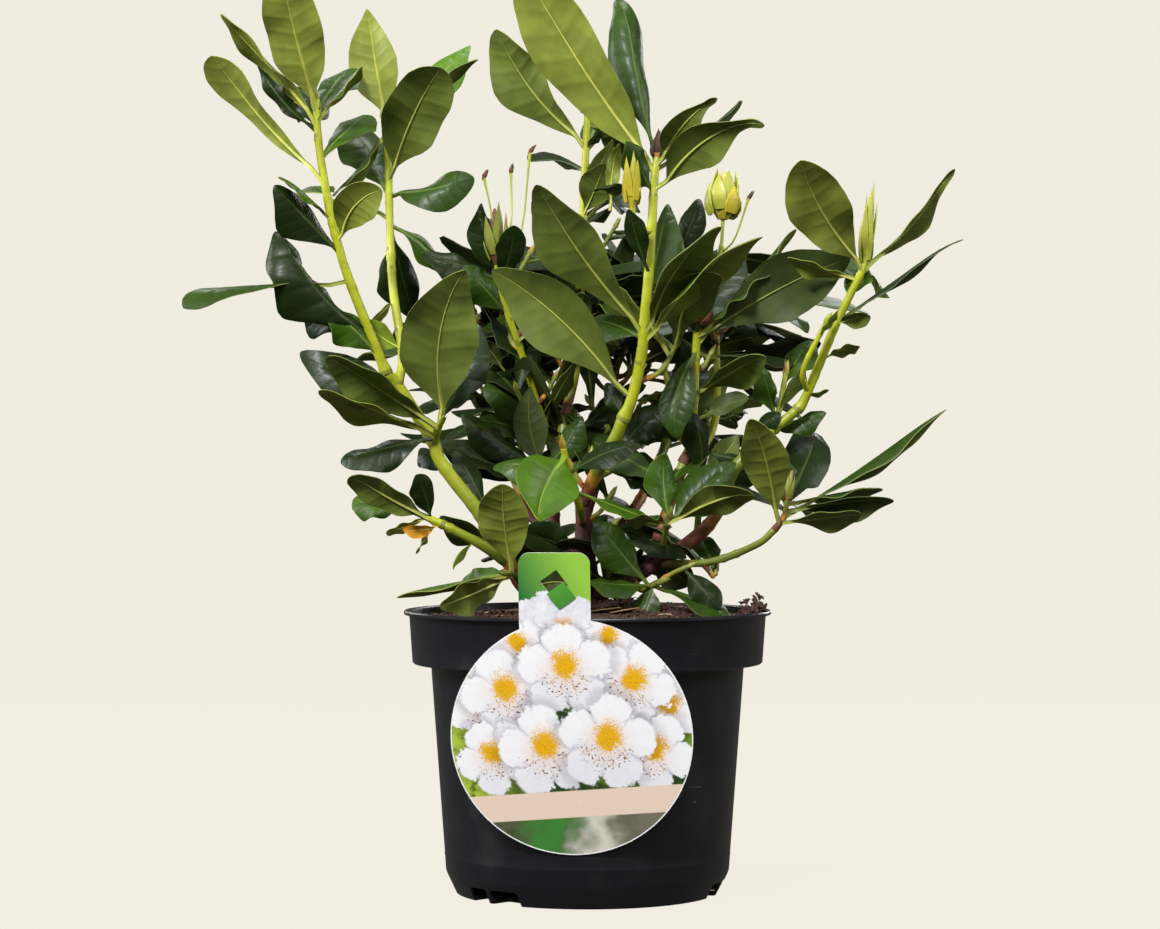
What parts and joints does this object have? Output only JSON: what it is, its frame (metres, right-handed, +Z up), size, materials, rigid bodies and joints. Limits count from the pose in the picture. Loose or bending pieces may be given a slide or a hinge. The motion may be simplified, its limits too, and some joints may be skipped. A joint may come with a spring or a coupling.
{
  "type": "potted shrub",
  "caption": "Young rhododendron with several stems and whorled leathery leaves, in a round black nursery pot with bark soil and a round picture label",
  "frame": {"origin": "Centre of the pot's flat underside, on the ground", "axes": "X to the viewer's right of the label, Y away from the label to the back, Z up along the pot's axis"},
  "size_m": [0.479, 0.3304, 0.5695],
  "materials": {
    "pot_plastic": "charcoal black moulded plastic with a soft sheen",
    "soil_bark": "dark fibrous bark and peat",
    "label_card": "printed plastic card with pale flowers and green leaves",
    "old_wood": "thin red-brown bark",
    "green_wood": "smooth young bark, yellow-green with brown bases",
    "foliage": "leathery leaves, glossy dark green above and olive below"
  },
  "bodies": {
    "root": {"pot": "pot_plastic", "soil": "soil_bark", "label": "label_card", "trunk": "old_wood", "bough_left": "green_wood", "bough_left_low": "green_wood", "bough_centre": "green_wood", "bough_back": "green_wood", "bough_right": "green_wood", "bough_upright": "green_wood", "bough_low_right": "green_wood", "bough_rear_left": "green_wood", "bough_rear_middle": "green_wood", "bough_rear_right": "green_wood", "foliage_left_tall": "foliage", "foliage_left_inner": "foliage", "foliage_left_whorl": "foliage", "foliage_left_low": "foliage", "foliage_base_left": "foliage", "foliage_front": "foliage", "foliage_centre": "foliage", "foliage_back": "foliage", "foliage_centre_left": "foliage", "foliage_centre_right": "foliage", "foliage_back_right": "foliage", "foliage_right": "foliage", "foliage_right_inner": "foliage", "foliage_low_right": "foliage", "foliage_right_front": "foliage", "foliage_base_right": "foliage", "foliage_middle_left": "foliage", "foliage_middle": "foliage", "foliage_middle_right": "foliage", "foliage_rear_left": "foliage", "foliage_rear_middle": "foliage", "foliage_rear_right": "foliage"}
  },
  "joints": []
}
